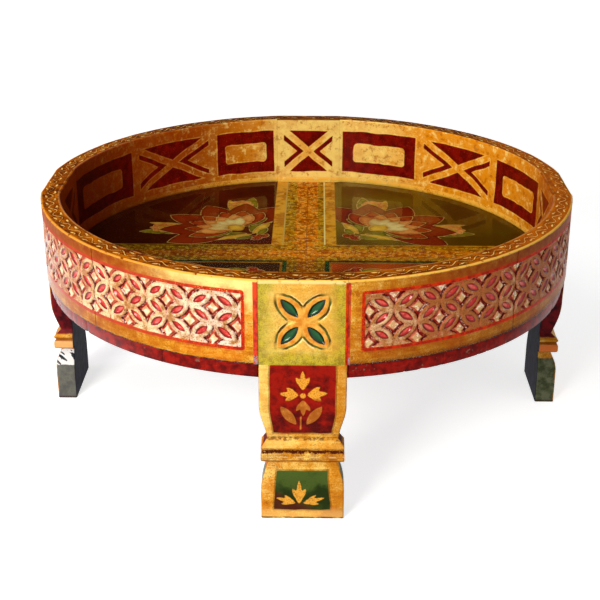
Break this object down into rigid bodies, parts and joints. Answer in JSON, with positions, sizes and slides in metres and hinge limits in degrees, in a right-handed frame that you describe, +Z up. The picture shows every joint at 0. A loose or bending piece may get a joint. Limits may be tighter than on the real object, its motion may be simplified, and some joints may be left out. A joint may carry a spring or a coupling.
{
  "type": "round carved tray table",
  "caption": "Low round wooden table with a deep carved tray rim, full-height plank legs, a planked floor and a loose glass disc inside.",
  "frame": {"origin": "on the floor under the middle of the table, which is the bottom centre of its bounding box", "axes": "+Z up, -Y towards the front leg, +X towards the right leg"},
  "size_m": [0.594, 0.594, 0.26],
  "materials": {
    "rim_paint": "painted gold and red over carved wood, rubbed",
    "leg_paint": "painted gold, green and maroon, rubbed and lacquered",
    "board_paint": "painted maroon, chipped",
    "batten_wood": "dark stained",
    "peg_wood": "bare",
    "screw_steel": "dull zinc",
    "glass": "clear polished"
  },
  "bodies": {
    "table": {"leg_front": "leg_paint", "leg_right": "leg_paint", "leg_back": "leg_paint", "leg_left": "leg_paint", "rim_front_right_a": "rim_paint", "rim_front_right_b": "rim_paint", "rim_back_right_a": "rim_paint", "rim_back_right_b": "rim_paint", "rim_back_left_a": "rim_paint", "rim_back_left_b": "rim_paint", "rim_front_left_a": "rim_paint", "rim_front_left_b": "rim_paint", "plank_left_outer": "board_paint", "plank_left_inner": "board_paint", "plank_right_inner": "board_paint", "plank_right_outer": "board_paint", "batten_front": "batten_wood", "batten_back": "batten_wood", "leg_pegs": "peg_wood", "splice_pegs": "peg_wood", "board_pegs": "peg_wood", "plank_pegs": "peg_wood", "rim_screws": "screw_steel", "batten_screws": "screw_steel"},
    "glass": {"glass_disc": "glass"}
  },
  "joints": [
    {"name": "glass_lift", "type": "slide", "parent": "table", "child": "glass", "axis": [0, 0, 1], "range_m": [0, 0.12]}
  ]
}
